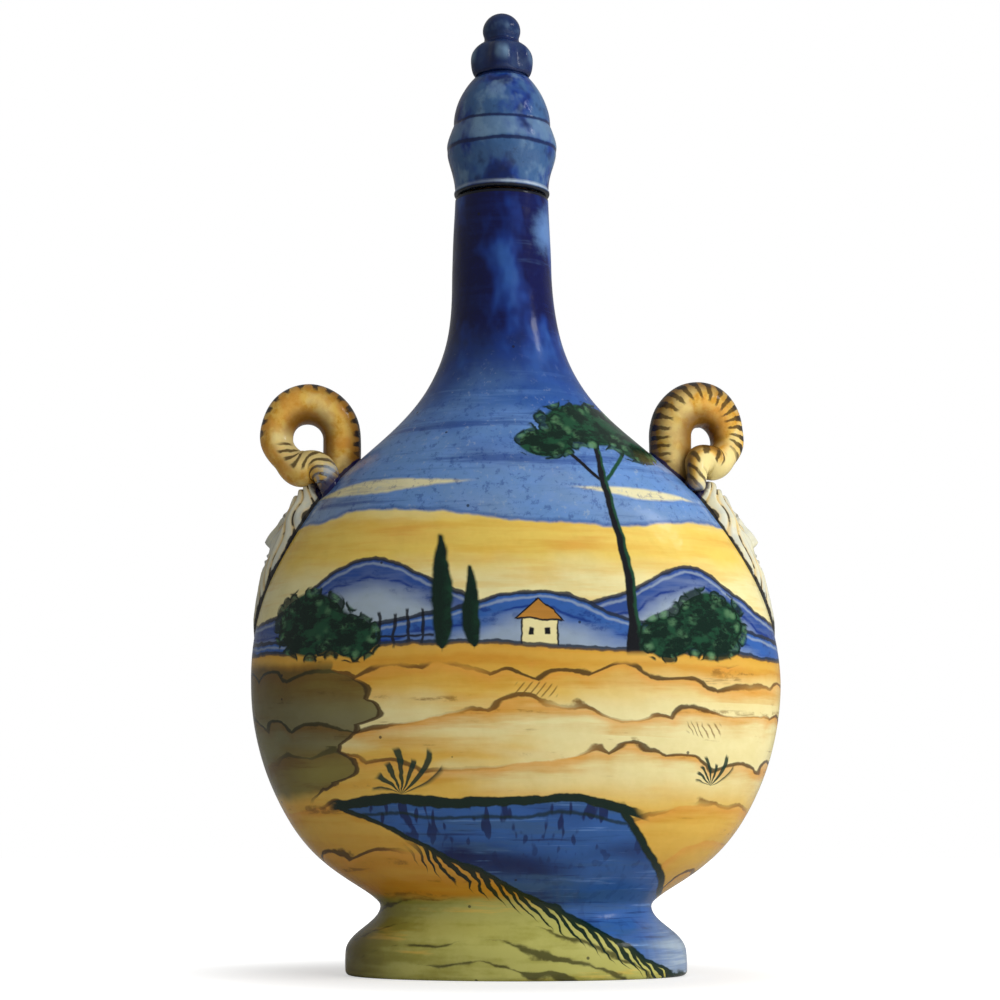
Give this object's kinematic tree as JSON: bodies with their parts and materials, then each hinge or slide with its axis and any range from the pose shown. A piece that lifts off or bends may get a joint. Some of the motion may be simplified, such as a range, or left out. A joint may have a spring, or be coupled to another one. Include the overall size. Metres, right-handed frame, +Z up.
{
  "type": "decanter",
  "caption": "Glazed pilgrim-flask decanter: flattened round body on a flared foot, tall neck, coiled horn handles, relief masks at the shoulders and a lift-out stopper.",
  "frame": {"origin": "middle of the foot's flat underside, on the surface that the flask stands on", "axes": "+Z up the flask to the stopper, +X to the viewer's right across the flask's widest side, -Y out of the painted front"},
  "size_m": [0.1835, 0.106, 0.3406],
  "materials": {
    "painted_glaze_body": "glossy tin glaze painted in cobalt, yellow, ochre and green",
    "cobalt_glaze": "glossy cobalt blue glaze with brushed variation",
    "olive_glaze": "glossy olive and brown glaze",
    "ochre_glaze": "glossy ochre yellow glaze with dark brown stripes",
    "cream_glaze": "glossy cream white glaze with dark brush strokes",
    "cork": "plain matt cork"
  },
  "bodies": {
    "flask": {"body_front_half": "painted_glaze_body", "body_back_half": "painted_glaze_body", "neck": "cobalt_glaze", "foot": "olive_glaze", "left_coil_handle": "ochre_glaze", "right_coil_handle": "ochre_glaze", "left_mask": "cream_glaze", "right_mask": "cream_glaze"},
    "stopper": {"stopper_cap": "cobalt_glaze", "stopper_finial": "cobalt_glaze", "stopper_cork": "cork"}
  },
  "joints": [
    {"name": "stopper_lift", "type": "slide", "parent": "flask", "child": "stopper", "axis": [0, 0, 1], "range_m": [0, 0.07]}
  ]
}
